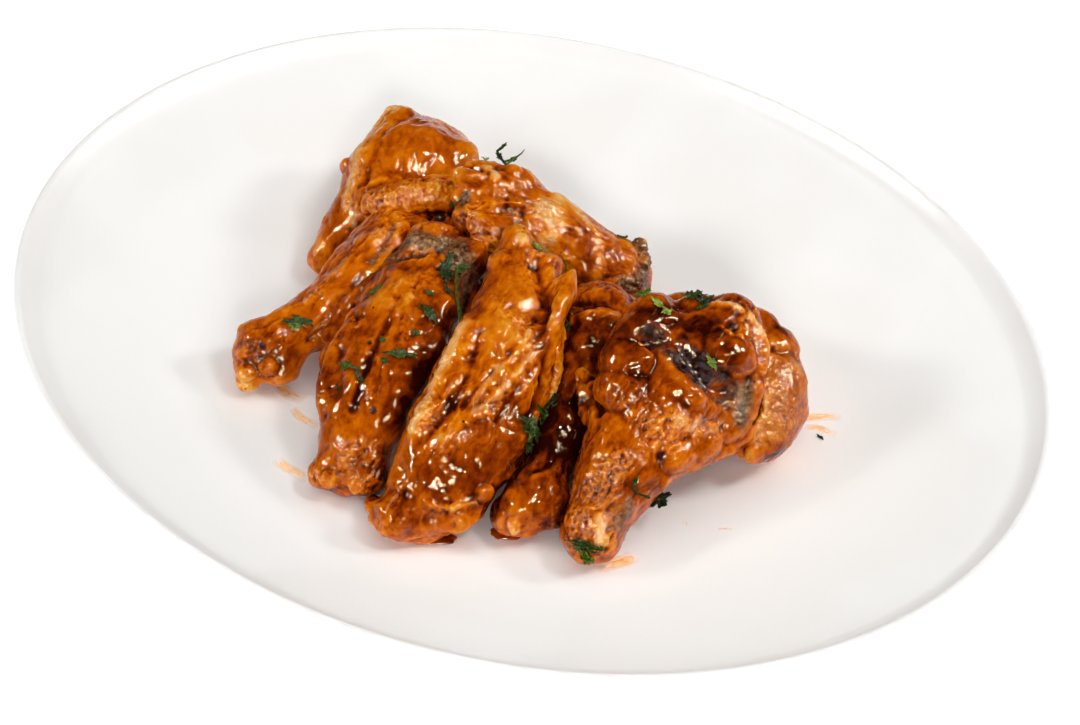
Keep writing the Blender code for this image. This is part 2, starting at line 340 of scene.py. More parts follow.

# %% [markdown]
# ## A wing from its CAD solid
# Each wing starts as a copy of its CAD node. Its loose triangles are merged and subdivided, extra lumps and rolls of
# skin and gristle are added as spheres, and a fine voxel remesh fuses them. Then folds, ridges and dents are drawn
# along short lines on the surface, as with a sculpting brush, and the same lines paint where fat and sauce lie.
# Noise adds swells, wrinkles that run along the bone, and blisters where the skin is crisp. Where a line presses a
# groove it mostly paints sauce too, and each wing's glaze is thickened in its hollows and where it faces a neighbour:
# that darkening is partly glaze gathered there and partly painted shade.

# %% Wing tools
VOXEL = 0.37
PAINTS = ("fat", "meat", "sauce", "crisp", "char", "dry")
WINGS = [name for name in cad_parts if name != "plate"]


def only(piece):
    """Selects one object alone."""
    bpy.ops.object.select_all(action="DESELECT")
    piece.select_set(True)
    bpy.context.view_layer.objects.active = piece


def applied(piece, kind, **settings):
    """Adds a modifier with its settings and applies it."""
    only(piece)
    changer = piece.modifiers.new(kind.lower(), kind)
    for key, value in settings.items():
        setattr(changer, key, value)
    bpy.ops.object.modifier_apply(modifier=changer.name)


def tree_of(names):
    """A search tree over the CAD solids of those names."""
    points, faces = [], []
    for name in names:
        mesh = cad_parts[name].data
        start = len(points)
        points += [v.co.copy() for v in mesh.vertices]
        faces += [[start + i for i in p.vertices] for p in mesh.polygons]
    return BVHTree.FromPolygons(points, faces)


class Wing:
    """A wing whose points are shaped in the serving's frame, in millimetres."""

    def __init__(self, node, lumps=(), rolls=()):
        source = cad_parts[node]
        self.node = node
        self.piece = bpy.data.objects.new(f"{node}_skin", source.data.copy())
        bpy.context.scene.collection.objects.link(self.piece)
        self.piece.data.materials.clear()
        only(self.piece)
        bpy.ops.object.mode_set(mode="EDIT")
        bpy.ops.mesh.select_all(action="SELECT")
        bpy.ops.mesh.remove_doubles(threshold=0.00001)
        bpy.ops.object.mode_set(mode="OBJECT")
        applied(self.piece, "SUBSURF", levels=2, render_levels=2)
        for place, radii, *turn in lumps:
            self.add_lump(place, radii, *turn)
        for line in rolls:
            self.add_roll(line)
        applied(self.piece, "REMESH", mode="VOXEL", voxel_size=VOXEL * MM)
        applied(self.piece, "SMOOTH", factor=0.5, iterations=10 if VOXEL < 0.6 else 2)
        self.read()
        self.centre = (self.points.min(0) + self.points.max(0)) / 2
        spread = self.points - self.points.mean(0)
        self.axes = np.linalg.svd(spread[::50], full_matrices=False)[2]
        self.paints = {name: np.zeros(len(self.points)) for name in PAINTS}

    def add_lump(self, place, radii, turn=(0, 0, 0)):
        """Joins on a sphere with three radii, turned about each axis in degrees."""
        bpy.ops.object.select_all(action="DESELECT")
        bpy.ops.mesh.primitive_uv_sphere_add(segments=24, ring_count=14, radius=1)
        lump = bpy.context.object
        turned = Matrix.Identity(4)
        for angle, axis in zip(turn, "XYZ"):
            turned = Matrix.Rotation(radians(angle), 4, axis) @ turned
        lump.matrix_world = SERVING @ Matrix.Translation(place) @ turned @ Matrix.Diagonal((*radii, 1))
        self.piece.select_set(True)
        bpy.context.view_layer.objects.active = self.piece
        bpy.ops.object.join()

    def add_roll(self, line):
        """Joins on a roll of skin: spheres close together along (x, y, z, radius) points."""
        line = np.array(line, float)
        for start, end in zip(line, line[1:]):
            steps = max(2, int(np.linalg.norm(end[:3] - start[:3]) / min(start[3], end[3]) * 1.8))
            for share in np.linspace(0, 1, steps, endpoint=False):
                x, y, z, r = start + (end - start) * share
                self.add_lump((x, y, z), (r, r, r))

    def read(self):
        """Takes the mesh's points and normals into the serving's frame."""
        mesh = self.piece.data
        flat = np.empty(len(mesh.vertices) * 3)
        mesh.vertices.foreach_get("co", flat)
        self.points = flat.reshape(-1, 3) @ TO_SERVING.T
        mesh.vertices.foreach_get("normal", flat)
        normals = flat.reshape(-1, 3) @ TO_SERVING.T
        self.normals = normals / np.linalg.norm(normals, axis=1)[:, None]

    def write(self):
        """Puts the points back on the mesh."""
        mesh = self.piece.data
        mesh.vertices.foreach_set("co", (self.points @ TO_WORLD.T).ravel())
        mesh.update()
        self.read()

    def brush(self, line, width, lift=0.0, wobble=0.35, **paints):
        """Draws along a line: raises or presses the skin by lift, and adds to what is painted there."""
        line = np.array(line, float).reshape(-1, 3)
        reach = 2.2 * width * (1 + wobble)
        inside = np.all((self.points > line.min(0) - reach) & (self.points < line.max(0) + reach), axis=1)
        near = np.flatnonzero(inside)
        points = self.points[near]
        away = np.full(len(near), 1e9)
        for i in range(max(1, len(line) - 1)):
            start, run = line[i], line[min(i + 1, len(line) - 1)] - line[i]
            share = np.clip((points - start) @ run / max(run @ run, 1e-9), 0, 1)
            away = np.minimum(away, np.linalg.norm(points - start - share[:, None] * run, axis=1))
        away = away / width * (1 + wobble * smooth_noise(points / (0.8 * width + 1), 11))
        press = np.exp(-(away**2) * 1.4)
        self.points[near] += self.normals[near] * (press * lift)[:, None]
        for name, strength in paints.items():
            self.paints[name][near] = np.clip(self.paints[name][near] + press * strength, -1, 1)

    def along(self, scale_along, scale_across):
        """The points scaled along the wing's length and across it, for drawn-out patterns."""
        local = (self.points - self.centre) @ self.axes.T
        return local / np.array([scale_along, scale_across, scale_across])

    def weather(self, seed, glaze=0.0, swell=0.9, wrinkle=0.8, blister=0.35):
        """Uneven swells, wrinkles along the wing, and blisters where the skin is crisp; none under thick glaze."""
        self.write()
        points, sauce = self.points, self.paints["sauce"]
        crisp = 0.08 + 0.8 * smooth_noise(points / 11, seed + 5) + self.paints["crisp"]
        crisp = np.clip(crisp - 0.9 * sauce, 0, 1)
        bare = np.clip(1.1 - 1.4 * sauce, 0.1, 1)
        self.paints["crisp"] = crisp
        warp = np.stack([smooth_noise(points / 6, seed + 20 + i) for i in range(3)], 1)
        height = swell * rough_noise(points / 9, seed, 2)
        crease = 1 - np.abs(rough_noise(self.along(9, 3.2) + warp * 0.7, seed + 1, 3, 0.5))
        height += wrinkle * (crease - 0.7) * (0.25 + 0.75 * crisp) * bare
        pucker = 1 - np.abs(rough_noise(self.along(2.6, 1.3) + warp * 1.3, seed + 9, 3, 0.6))
        height += 0.32 * wrinkle * (pucker - 0.75) * (0.3 + crisp) * bare
        bumps = blisters(points / 2.1, seed + 3) + 0.6 * blisters(points / 1.1, seed + 4)
        height += blister * bumps * crisp + 0.16 * smooth_noise(self.along(3.6, 2.2) + warp * 0.5, seed + 12)
        self.points += self.normals * height[:, None]
        self.paints["sauce"] = sauce + glaze + 0.25 * smooth_noise(points / 14, seed + 30)
        self.write()

    def hollows(self, turns=24):
        """How far each point lies below its surroundings, from 0 to 1: the glaze pools there, and the darker colour it
        brings there is partly painted shade.
        """
        mesh = self.piece.data
        ends = np.empty(len(mesh.edges) * 2, int)
        mesh.edges.foreach_get("vertices", ends)
        one, two = ends.reshape(-1, 2).T
        count = len(self.points)
        shared = np.bincount(np.concatenate([one, two]), minlength=count)[:, None]
        soft = self.points.copy()
        for _ in range(turns):
            total = [np.bincount(one, soft[two, i], count) + np.bincount(two, soft[one, i], count) for i in range(3)]
            soft = 0.5 * soft + 0.5 * np.stack(total, 1) / shared
        return np.clip(((soft - self.points) * self.normals).sum(1) / 0.5, -1, 1)

    def pool(self, reach=9.0):
        """Thickens the glaze, which darkens it, where the wing faces a neighbour close by: partly sauce gathered there,
        partly painted shade between the wings.
        """
        others = tree_of([name for name in WINGS if name != self.node])
        close = np.zeros(len(self.points))
        toward = np.zeros_like(self.points)
        for i, point in enumerate(self.points @ TO_WORLD.T):
            found, _, _, away = others.find_nearest(Vector(point), reach * MM)
            if found:
                close[i] = 1 - away / (reach * MM)
                toward[i] = (found[0] - point[0], found[1] - point[1], found[2] - point[2])
        toward = toward @ TO_SERVING.T
        facing = (toward * self.normals).sum(1) / np.maximum(np.linalg.norm(toward, axis=1), 0.5)
        self.paints["sauce"] = np.clip(self.paints["sauce"] + 1.5 * close * np.clip(facing, 0, 1), -1, 1.8)

    def done(self):
        """Stores what was painted, and gives the piece its finish and its place in the frame."""
        mesh = self.piece.data
        # Painted shade, together with real pooling: darker glaze where the wing faces its neighbours and in its
        # hollows.
        self.pool()
        self.paints["low"] = self.hollows()
        for name, values in self.paints.items():
            layer = mesh.attributes.new(name, "FLOAT", "POINT")
            layer.data.foreach_set("value", values.astype(np.float32))
        layer = mesh.attributes.new("grain", "FLOAT_VECTOR", "POINT")
        layer.data.foreach_set("vector", (self.along(1, 1) * MM).astype(np.float32).ravel())
        mesh.shade_smooth()
        mesh.materials.append(glazed_skin)
        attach(self.piece, "root")
        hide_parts(self.node)
        print(self.node, "has", len(mesh.polygons) * 2, "triangles")


# %% [markdown]
# ## Middle flat
# The large flat in front shows the wing's broad side: one bone stands out as a rail down its right edge, with a
# groove beside it, a strip of pale fat runs down its left edge, and its ends are knots of gristle.

# %% Middle flat
flat = Wing(
    "flat_centre",
    lumps=[((-38, -73, 18), (3.5, 3, 3)), ((-10, -70, 24), (3.5, 2.5, 2.5)), ((0, 1, 51), (2.6, 2.6, 3))],
    rolls=[[(9, -2, 43.5, 2.6), (11, -16, 46.5, 2.6), (10.5, -27, 41, 2.6), (9, -36, 33, 2.4), (5, -45, 28, 1.8)]],
)
flat.brush([(10, -8, 50), (11, -22, 51), (12, -27, 40), (11, -36, 34), (7, -44, 31)], 2.4, 0.5, sauce=-0.3, fat=0.15)
# The groove beside the bone rail gets sauce, which darkens it: partly sauce gathered there, partly painted shade in the
# groove.
flat.brush([(6, -7, 50), (7, -24, 50), (7, -35, 45), (6, -43, 36), (3, -51, 34)], 2.4, -1.6, sauce=0.5)
flat.brush([(-15, -29, 47), (-19, -37, 45), (-22, -45, 42), (-25, -51, 40), (-28, -57, 36)], 2.6, 1.3, fat=0.95, sauce=-0.5)
flat.brush([(-11, -32, 49), (-14, -44, 46), (-20, -55, 40), (-25, -61, 37)], 2.2, -1.5, fat=0.1, sauce=0.2)
flat.brush([(3, -32, 47), (-5, -42, 45), (-13, -52, 42)], 1.6, 0.6, wobble=0.7, fat=0.6, sauce=-0.2)
flat.brush([(0, -35, 47), (-7, -44, 45), (-15, -53, 42)], 1.2, -0.8, sauce=0.2)
flat.brush([(4, -37, 45), (-5, -48, 42), (-9, -53, 41)], 1.8, 0.6, wobble=0.7, fat=0.55, sauce=-0.2)
flat.brush([(5, -40, 43), (-2, -50, 41), (-6, -56, 38)], 1.4, -0.6, sauce=0.3)
flat.brush([(-9, -53, 41), (-16, -57, 39), (-20, -61, 36)], 3.0, 0.6, fat=0.45)
flat.brush([(-13, -38, 47)], 1.7, -0.9, sauce=0.6)
flat.brush([(-15, -37, 47), (-14, -35, 48), (-11, -35, 48)], 1.0, 0.7, fat=0.3)
flat.brush([(-7, -5, 50), (-5, -4, 51)], 3.0, 1.6, crisp=0.6, meat=0.5)
flat.brush([(4, -7, 51)], 2.6, -1.5, meat=0.7, sauce=0.3)
flat.brush([(0, 1, 53)], 2.5, 0.5, sauce=-0.6, fat=0.4)
flat.brush([(2, -2, 51), (6, -2, 50), (10, -3, 49)], 1.4, 0.9, sauce=0.2)
flat.brush([(11, -4, 48), (13, -5, 44)], 3.0, 0.3, crisp=0.4, sauce=0.25, meat=0.35)
flat.brush([(-9, -10, 50), (-10, -20, 49), (-13, -29, 48)], 3.4, 0.0, sauce=0.45)
flat.brush([(-2, -18, 51), (2, -24, 49), (-1, -31, 48)], 6.0, 0.4, sauce=-0.3, crisp=-0.4)
flat.brush([(-3, -60, 33), (2, -52, 34), (-6, -64, 29)], 7.0, 0.8, sauce=0.35, crisp=-0.8)
flat.brush([(-24, -68, 31), (-13, -69, 28)], 7.0, 0.0, sauce=0.5, crisp=0.5)
flat.brush([(-31, -72, 26), (-28, -73, 25)], 1.6, -0.4, sauce=0.1)
flat.brush([(-24, -75, 25), (-18, -75, 24), (-12, -73, 24)], 1.2, 1.2, fat=0.2)
flat.brush([(-38, -74, 23), (-32, -78, 22), (-25, -78, 19), (-16, -78, 18), (-11, -73, 23)], 2.4, 1.0, sauce=0.25, crisp=0.2)
flat.weather(seed=21, glaze=0.12)
flat.done()

# %% [markdown]
# ## Left flat
# The other flat lies beside it with its skin pulled off the top end, where dark meat and pink flesh show. Down its
# left side a thick, smooth fold of sauce catches one long highlight.

# %% Left flat
left = Wing(
    "flat_left",
    lumps=[
        ((-52, -59, 18), (3, 3, 3)),
        ((-44, -61, 18), (3, 3, 3)),
        ((-28, 10, 43), (4, 3, 2.5)),
        ((-21, 6, 43), (3.5, 3, 3)),
        ((-15, 2, 32), (6, 8, 8)),
    ],
    rolls=[[(-41, 1, 35, 3.2), (-48, -2, 30, 3.2), (-53, -8, 25, 3.0), (-53, -20, 28, 2.6), (-53, -32, 29, 2.4)]],
)
left.brush([(-36, -2, 42), (-43, 3, 37), (-50, -2, 32), (-55, -9, 26), (-56, -22, 28), (-55, -34, 31)], 3.4, 1.0, sauce=0.65, crisp=-1)
left.brush([(-38, -5, 42), (-46, -7, 36), (-49, -14, 34), (-50, -28, 35)], 2.2, -1.3, sauce=0.35)
left.brush([(-38, 7, 41), (-32, 11, 43), (-26, 8, 45), (-19, 5, 45)], 4.5, 0.0, meat=1.0, sauce=-0.3)
left.brush([(-30, 10, 44), (-25, 7, 46)], 2.2, 1.0, meat=0.3, fat=0.6)
left.brush([(-22, 6, 46)], 1.8, -1.8, meat=0.5, char=0.5)
left.brush([(-35, 4, 43), (-28, 3, 45)], 1.6, -1.0, meat=0.5)
left.brush([(-19, 5, 45), (-15, -1, 41), (-16, -10, 36)], 6.0, 0.0, meat=0.55, crisp=0.6, sauce=0.3)
left.brush([(-16, -10, 36), (-22, -25, 38), (-24, -37, 41)], 5.0, 0.0, meat=0.35, sauce=0.35)
left.brush([(-39, -12, 42), (-33, -18, 44), (-34, -8, 43)], 5.5, 0.6, sauce=-0.5, fat=0.25)
left.brush([(-34, -14, 44), (-39, -26, 41), (-43, -36, 37), (-46, -46, 33)], 1.8, -0.9, sauce=0.3)
left.brush([(-28, -21, 43)], 3.4, 1.3, sauce=0.6, crisp=0.5)
left.brush([(-42, -27, 40)], 0.9, -0.9, char=1.0)
left.brush([(-30, -38, 35), (-34, -46, 32)], 6.0, 0.9, sauce=0.6, crisp=-0.6)
left.brush([(-44, -30, 38), (-50, -42, 33)], 4.0, 0.8, sauce=0.25)
left.brush([(-40, -47, 33)], 1.2, -0.8, char=0.9)
left.brush([(-42, -56, 26)], 1.2, -0.5, char=0.8)
left.brush([(-52, -60, 18), (-44, -62, 19), (-58, -58, 18)], 4.5, 0.4, crisp=0.4, sauce=-0.1)
left.brush([(-50, -52, 29), (-46, -56, 25)], 4.5, 0.5, sauce=-0.2, crisp=0.35)
left.weather(seed=31, glaze=0.32, wrinkle=0.6)
left.done()

# %% [markdown]
# ## Front drumette
# The drumette on the right has a swollen joint end with two bulbs, a blackened groove between them, and a flap of
# skin hanging from its shaft down to a knuckle, where the bone's pale gristle shows through.

# %% Front drumette
front = Wing(
    "drumette_front",
    lumps=[
        ((31, -40, 43), (9, 9.5, 9)),
        ((30, -46.5, 39.5), (9.5, 10, 8.5)),
        ((28.5, -55, 34), (7.5, 9, 7.5)),
        ((56, -37, 43), (10, 9, 9)),
        ((38, -29, 49), (7, 5, 5)),
        ((50, -22.5, 46), (7, 5.5, 5.5)),
        ((55, -49, 31), (9, 7, 7)),
        ((48, -56, 31), (8, 7, 7)),
        ((41, -62, 31), (7, 6, 6)),
    ],
    rolls=[
        [(58, -27, 49, 3), (63, -30, 48, 3), (66, -36, 44, 3), (65, -43, 39, 3), (62, -49, 32, 3)],
        [(62, -50, 27, 3), (56, -54, 25, 3.2), (49, -59, 27, 3.4), (44, -63, 28, 3.2), (37, -68, 27, 3)],
        [(18, -35, 34, 2.4), (18, -41, 31, 2.4), (19, -49, 31, 2)],
    ],
)
front.brush([(37, -38, 51), (42, -38, 51), (46, -44, 49), (50, -48, 46), (54, -49, 43), (58, -48, 41)], 3.0, -2.4)
front.brush([(35, -35, 52), (39, -37, 51), (44, -41, 50), (49, -46, 48)], 4.4, 0.0, wobble=0.6, char=0.85, meat=0.6)
front.brush([(45, -43, 50), (51, -48, 47), (57, -51, 43)], 4.4, -0.8, char=1.3)
front.brush([(57, -50, 42), (62, -47, 40), (61, -52, 35)], 4.0, 0.0, meat=1.0, sauce=-0.3, char=0.45)
front.brush([(27, -38, 52), (26, -43, 49), (25, -46, 43)], 5.0, 0.7, sauce=0.3, crisp=-1)
front.brush([(35, -30, 55), (33, -33, 55), (39, -31, 54)], 4.0, 0.5, sauce=0.6, crisp=-0.8)
front.brush([(28, -39, 52), (31, -44, 50), (26, -42, 50)], 8.0, 0.0, sauce=0.35, crisp=-1)
front.brush([(36, -31, 55), (41, -31, 54)], 6.0, 0.0, sauce=0.4, crisp=-1)
front.brush([(58, -40, 48), (54, -36, 51), (48, -33, 53)], 7.0, 0.0, sauce=0.35, crisp=-0.8)
front.brush([(31, -49, 46), (33, -52, 44)], 2.6, 0.0, crisp=0.9, meat=0.35)
front.brush([(53, -33, 52), (50, -38, 50)], 5.0, 0.5, sauce=0.1, crisp=-1)
front.brush([(53, -43, 48), (59, -41, 47)], 5.0, 0.8, sauce=0.55, crisp=-1)
front.brush([(59, -33, 52)], 2.2, -2.4, meat=0.4, fat=0.5)
front.brush([(56, -34, 53), (58, -36, 52), (61, -36, 51)], 1.1, 0.9, sauce=0.2)
# The raised lip of thin skin along the back edge is painted pale with fat; the paleness is partly the skin's own and
# partly a painted highlight along the edge.
front.brush([(53, -24, 53), (60, -27, 53), (65, -30, 50), (68, -34, 46), (67, -41, 42)], 1.6, 0.9, fat=0.7, sauce=-0.3)
front.brush([(42, -48, 48), (46, -50, 46), (49, -52, 43)], 3.4, 1.1, sauce=0.05, crisp=-1)
front.brush([(45, -55, 43)], 1.4, 0.2, sauce=0.9)
front.brush([(43, -58, 42), (46, -59, 39), (51, -57, 36), (54, -55, 35)], 3.2, 0.3, fat=0.75, crisp=0.5, sauce=-0.4)
front.brush([(36, -60, 41), (41, -63, 37), (35, -66, 37)], 5.0, 0.2, sauce=-0.5)
front.brush([(62, -51, 28), (56, -54, 26), (49, -60, 30), (44, -64, 31), (38, -69, 30)], 3.4, 0.4, sauce=0.15, crisp=-1)
front.brush([(50, -56, 34), (44, -61, 36), (38, -66, 35)], 1.4, -0.9, sauce=0.3)
front.brush([(23, -61, 37), (24, -56, 40)], 3.4, 0.9, sauce=0.2, crisp=-1)
front.brush([(18, -40, 34), (19, -43, 31), (20, -53, 35)], 2.2, 0.4, fat=0.4)
front.brush([(22, -37, 40), (22, -44, 37), (22, -52, 38)], 2.0, -1.6, sauce=0.7)
front.brush([(14, -79, 25), (14, -84, 22), (18, -87, 20), (24, -86, 22)], 4.0, 0.4, crisp=0.6, sauce=-0.2)
front.brush([(22, -82, 27), (22, -86, 23)], 2.0, 0.8, fat=1.2, sauce=-0.8, crisp=-1)
front.brush([(27, -81, 24), (29, -77, 26)], 3.0, -0.3, meat=0.9, crisp=0.5)
front.brush([(22, -72, 32), (26, -70, 34), (24, -77, 29)], 4.5, 0.0, crisp=0.9, meat=0.3, sauce=-0.2)
front.weather(seed=41, glaze=0.42, swell=0.75)
front.done()

# %% [markdown]
# ## Back left drumette
# This one stands up behind the rest. Its skin is drawn tight and glossy over the meat, except for a loose roll that
# lies across its foot, pebbled where the fryer blistered it.

# %% Back left drumette
back_left = Wing(
    "drumette_back_left",
    # The second lump fills the gap under the roll's end, where there is only shade between the pieces; it is painted
    # dark further down, as painted shade.
    lumps=[((-53, 57, 32), (2.4, 2.4, 2.8)), ((-22, 27, 29), (7, 6, 9))],
    rolls=[[(-43, 35.5, 35.5, 5.2), (-37, 35, 37.6, 6.0), (-30, 35, 38.8, 6.0), (-24, 35, 39, 5.6), (-20, 34, 38.4, 5)]],
)
back_left.brush([(-40, 75, 41), (-44, 71, 38), (-47, 62, 39), (-50, 53, 37), (-52, 44, 33), (-50, 36, 29)], 3.0, 0.6, fat=1.1, sauce=-0.4)
back_left.brush([(-37, 68, 42), (-41, 62, 42), (-45, 52, 40), (-47, 44, 37)], 2.0, -0.8, sauce=0.1)
back_left.brush([(-40, 74, 41), (-43, 72, 40), (-44, 68, 39)], 1.0, -0.8, sauce=0.8)
back_left.brush([(-54, 56, 33), (-55, 47, 31), (-57, 39, 28), (-59, 33, 25)], 4.0, 0.3, sauce=0.4, crisp=-1)
back_left.brush([(-60, 31, 22), (-60, 33, 20)], 2.6, 0.4, fat=0.35, sauce=-0.8)
back_left.brush([(-56, 32, 25), (-53, 35, 28)], 4.0, 0.3, sauce=0.4, crisp=-1)
back_left.brush([(-38, 60, 43), (-31, 54, 41), (-24, 52, 38)], 10.0, 0.6, crisp=-1, sauce=0.1)
back_left.brush([(-34, 72, 41), (-27, 64, 41), (-21, 60, 38), (-17, 58, 36)], 3.0, 0.3, sauce=0.45, crisp=-1)
back_left.brush([(-49, 31, 33), (-49.5, 35, 36), (-47, 40, 38), (-42, 42, 40), (-34, 43, 41), (-25, 43, 42), (-19, 41, 41)], 1.6, -2.8, sauce=0.9)
back_left.brush([(-42, 33, 39), (-32, 33, 42), (-22, 33, 42)], 6.0, 0.0, crisp=1.0, sauce=-0.2)
back_left.brush([(-46, 29, 34), (-38, 28, 36), (-31, 28, 37), (-24, 28, 37)], 1.8, -1.6, sauce=1.0)
back_left.brush([(-43, 50, 41)], 0.8, -0.4, char=1.0)
back_left.brush([(-21, 44, 41)], 0.9, -0.4, char=1.0)
# Painted shade: thick sauce and bare meat darken the lump under the roll, standing in for the shade in the gap between
# the pieces.
back_left.brush([(-22, 24, 34), (-20, 22, 28)], 8.0, 0.0, sauce=1.0, meat=0.4)
back_left.weather(seed=51, swell=0.5, wrinkle=0.5, glaze=-0.1)
back_left.done()

# %% [markdown]
# ## Back right drumette
# The drumette behind the middle shows its joint: knobs of gristle, a curl of skin, and a pool of dark red sauce.
# Pale torn fat covers its side, a wide drip of sauce runs down it, and the far end is fried brown.

# %% Back right drumette
back_right = Wing(
    "drumette_back_right",
    lumps=[
        ((-14, 30, 49), (4, 4, 4.2)),
        ((-8, 28, 50), (3.5, 3.5, 4)),
        ((-3, 32, 50), (3.2, 3.2, 3.4)),
        ((-15, 19, 43), (5, 5, 5)),
        ((-10, 12, 42), (4.5, 4, 4)),
        ((-9, 17, 31), (8, 6, 8)),
        ((-17, 25.5, 47), (3.6, 3.4, 3.4)),
        ((-10, 25, 50), (3.4, 3, 2.6)),
        ((36, 26.5, 28), (2.4, 2.6, 2.6)),
        ((37, 21, 26), (2.4, 3.2, 2.8)),
        ((34.5, 14.5, 24), (2.8, 2.2, 2.4)),
    ],
    rolls=[[(-18, 32, 50, 2.2), (-17, 30, 52.5, 2.4), (-13.5, 28, 53.5, 2.4), (-10, 27.5, 53, 1.8)]],
)
back_right.brush([(-16, 34, 53), (-18, 30, 51), (-14, 27, 51)], 1.6, 1.0, crisp=-0.6, sauce=-0.2)
back_right.brush([(-14, 32, 54), (-12, 30, 54)], 1.4, -1.3, sauce=0.5, meat=0.4)
back_right.brush([(-9, 31, 54), (-7, 28, 54)], 1.8, 0.8, fat=1.0, sauce=-0.4)
back_right.brush([(-7, 32, 54), (-5, 31, 54)], 1.3, -1.0, meat=0.8)
back_right.brush([(-4, 33, 53), (-2, 30, 52)], 2.4, 0.7, sauce=0.6)
back_right.brush([(-16, 24, 50), (-17, 20, 47)], 2.2, -0.8, meat=0.9)
back_right.brush([(-15, 18, 48), (-13, 12, 46), (-7, 10, 45)], 3.6, 0.6, crisp=0.9)
back_right.brush([(-11, 20, 48), (-9, 15, 47)], 1.6, -1.0, sauce=0.5)
back_right.brush([(-7, 20, 49), (-4, 21, 49), (0, 21, 49)], 1.5, 1.3, fat=0.4, crisp=-0.8)
back_right.brush([(1, 18.5, 47), (3.5, 19.5, 47)], 1.4, -0.5, wobble=0.9, sauce=0.6, crisp=-1)
back_right.brush([(-3, 14, 47), (1, 12, 45)], 3.5, 0.5, sauce=0.45, crisp=-0.8)
back_right.brush([(0, 31, 51), (6, 29, 48), (10, 27, 46)], 3.0, 0.5, sauce=0.3, crisp=-0.8)
back_right.brush([(5, 20, 46), (8, 22, 46), (10, 25, 45)], 3.6, 0.7, fat=1.0, sauce=-0.6)
back_right.brush([(12, 29, 44), (16, 27, 41), (18, 24, 41)], 2.8, 0.5, fat=0.9, sauce=-0.4)
back_right.brush([(10, 19, 43), (8, 12, 41), (12, 9, 38)], 5.0, 0.3, wobble=0.8, fat=0.9, sauce=-0.5)
back_right.brush([(16, 20, 42), (18, 17, 39), (18, 14, 35), (20, 11, 31)], 3.2, 1.2, sauce=0.5, crisp=-1, fat=-0.5)
back_right.brush([(19, 24, 40), (22, 20, 37), (24, 15, 34), (22, 11, 30)], 2.0, 0.5, fat=0.6, sauce=-0.3)
back_right.brush([(26, 21, 35), (30, 24, 32), (28, 16, 31)], 4.0, 0.7, fat=0.3, sauce=0.1)
back_right.brush([(31, 29, 30), (36, 26, 29), (38, 21, 27), (38, 16, 25)], 4.4, 0.0, crisp=1, meat=0.9, char=0.3)
back_right.brush([(30, 12, 25), (35, 13, 24)], 3.8, 0.0, crisp=0.9, meat=1.0)
back_right.weather(seed=61, glaze=0.05, wrinkle=0.95)
back_right.done()

# %% [markdown]
# ## Left drumette
# Behind the left flat a drumette points at the plate's edge. Its shank is smooth orange, its skin is crisp along the
# top, and its knuckle is dark with a yellow tip of gristle.

# %% Left drumette
drum_left = Wing(
    "drumette_left",
    lumps=[
        ((-79, -17, 18), (3, 3, 2.6)),
        ((-69, -12, 20), (3.4, 3.4, 3.4)),
        ((-76, -9.5, 24), (3, 3, 3)),
        ((-79.5, -13.5, 22), (2.6, 2.6, 2.6)),
        ((-72.5, -16.3, 19.5), (3.2, 2.8, 3)),
    ],
)
drum_left.brush([(-61, 0, 30), (-54, 7, 33), (-47, 12, 39), (-41, 19, 40)], 2.6, 0.8, fat=0.35, crisp=0.7)
drum_left.brush([(-61, -9, 23), (-56, -5, 27), (-49, 1, 32), (-43, 8, 36)], 2.4, -1.0, meat=0.5, crisp=0.5)
drum_left.brush([(-60, -4, 29), (-53, 3, 33), (-46, 9, 38)], 4.0, 0.3, crisp=-1)
drum_left.brush([(-41, 17, 42), (-37, 21, 41), (-40, 13, 41)], 4.5, 0.2, sauce=-0.2)
drum_left.brush([(-37, 21, 41), (-39, 13, 40), (-43, 8, 38)], 1.8, -0.7, meat=0.7)
drum_left.brush([(-72, -13, 28), (-77, -13, 26), (-74, -17, 22)], 4.5, 0.4, sauce=0.5, crisp=0.5)
drum_left.brush([(-79, -18, 17)], 2.8, 0.4, fat=1.0, sauce=-1, crisp=-1)
drum_left.brush([(-74, -14, 25)], 1.4, -0.5, char=0.8)
drum_left.brush([(-68, -15, 20), (-67, -16, 17)], 3.0, 0.4, sauce=0.8)
drum_left.weather(seed=71, glaze=0.12)
drum_left.done()

# %% [markdown]
# ## Hidden drumette and right drumette
# Two drumettes lie half under the others: one in the gap beside the middle flat, painted dark with thick sauce, which
# also stands in for the shade that it lies in, and one at the far right, which escaped most of it and shows matt, tan,
# finely pitted skin.

# %% Hidden drumette
hidden = Wing("drumette_hidden", lumps=[((-1, -76, 18), (2.4, 2.4, 2.4))])
# Painted shade: thick sauce over the shaft, and the extra glaze given in weather below, darken the drumette where it
# lies in the shade between the middle flat and the front drumette.
hidden.brush([(10, -54, 29), (15, -43, 33), (16, -34, 35)], 9.0, 0.0, sauce=0.6, crisp=-0.5)
hidden.brush([(15, -18, 41), (20, -17, 42), (27, -17, 40)], 2.2, 1.4, sauce=-0.1, crisp=-1)
hidden.brush([(17, -12, 41), (24, -13, 41)], 2.4, -1.0, sauce=0.4)
hidden.brush([(18, -7, 40), (26, -10, 41), (30, -13, 40)], 4.0, 0.4, sauce=-0.1)
hidden.brush([(18, -24, 40), (24, -26, 40)], 3.6, 0.6, sauce=0.4, crisp=0.5)
hidden.brush([(-2, -68, 23), (3, -71, 24), (7, -67, 24)], 6.5, 0.6, sauce=0.3, crisp=-0.5)
hidden.brush([(-1, -77, 18)], 2.2, 0.3, fat=0.7, sauce=-0.4)
hidden.brush([(3, -64, 27), (8, -62, 27)], 1.6, -0.9, sauce=0.5)
hidden.weather(seed=81, glaze=0.36)
hidden.done()

